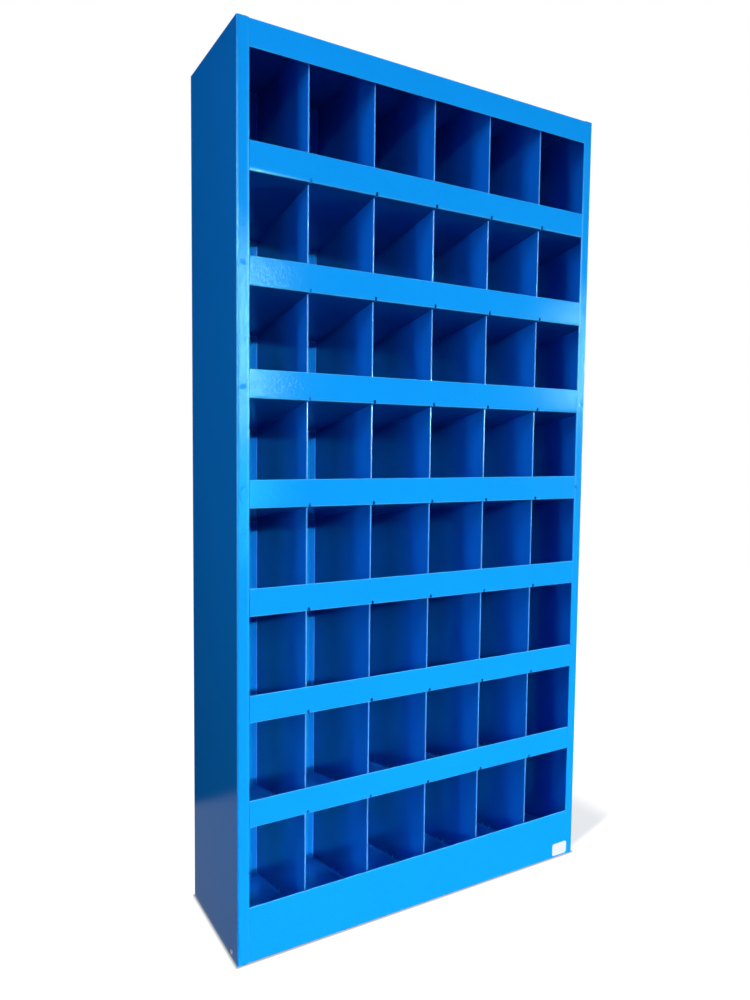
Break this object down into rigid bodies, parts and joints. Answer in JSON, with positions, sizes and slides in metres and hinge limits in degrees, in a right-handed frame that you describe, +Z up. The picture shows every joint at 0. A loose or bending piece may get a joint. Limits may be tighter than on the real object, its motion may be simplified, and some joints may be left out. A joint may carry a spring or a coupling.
{
  "type": "bolt bin shelf",
  "caption": "Free-standing sheet-steel pigeonhole rack with sloping shelves, turned-up front lips and fixed dividers, for sorting bolts and small parts.",
  "frame": {"origin": "middle of the footprint on the floor", "axes": "+Z up, open front towards -Y, +X to the right of someone facing the front"},
  "size_m": [0.9, 0.283, 1.818],
  "materials": {
    "panel_paint": "gloss powder coat",
    "shelf_paint": "gloss powder coat",
    "divider_paint": "gloss powder coat"
  },
  "bodies": {
    "root": {"left_side_panel": "panel_paint", "right_side_panel": "panel_paint", "top_panel": "panel_paint", "back_panel": "panel_paint", "plinth": "panel_paint", "bottom_shelf": "shelf_paint", "shelf_1": "shelf_paint", "shelf_2": "shelf_paint", "shelf_3": "shelf_paint", "shelf_4": "shelf_paint", "shelf_5": "shelf_paint", "shelf_6": "shelf_paint", "shelf_7": "shelf_paint", "divider_r1c1": "divider_paint", "divider_r1c2": "divider_paint", "divider_r1c3": "divider_paint", "divider_r1c4": "divider_paint", "divider_r1c5": "divider_paint", "divider_r2c1": "divider_paint", "divider_r2c2": "divider_paint", "divider_r2c3": "divider_paint", "divider_r2c4": "divider_paint", "divider_r2c5": "divider_paint", "divider_r3c1": "divider_paint", "divider_r3c2": "divider_paint", "divider_r3c3": "divider_paint", "divider_r3c4": "divider_paint", "divider_r3c5": "divider_paint", "divider_r4c1": "divider_paint", "divider_r4c2": "divider_paint", "divider_r4c3": "divider_paint", "divider_r4c4": "divider_paint", "divider_r4c5": "divider_paint", "divider_r5c1": "divider_paint", "divider_r5c2": "divider_paint", "divider_r5c3": "divider_paint", "divider_r5c4": "divider_paint", "divider_r5c5": "divider_paint", "divider_r6c1": "divider_paint", "divider_r6c2": "divider_paint", "divider_r6c3": "divider_paint", "divider_r6c4": "divider_paint", "divider_r6c5": "divider_paint", "divider_r7c1": "divider_paint", "divider_r7c2": "divider_paint", "divider_r7c3": "divider_paint", "divider_r7c4": "divider_paint", "divider_r7c5": "divider_paint", "divider_r8c1": "divider_paint", "divider_r8c2": "divider_paint", "divider_r8c3": "divider_paint", "divider_r8c4": "divider_paint", "divider_r8c5": "divider_paint"}
  },
  "joints": []
}
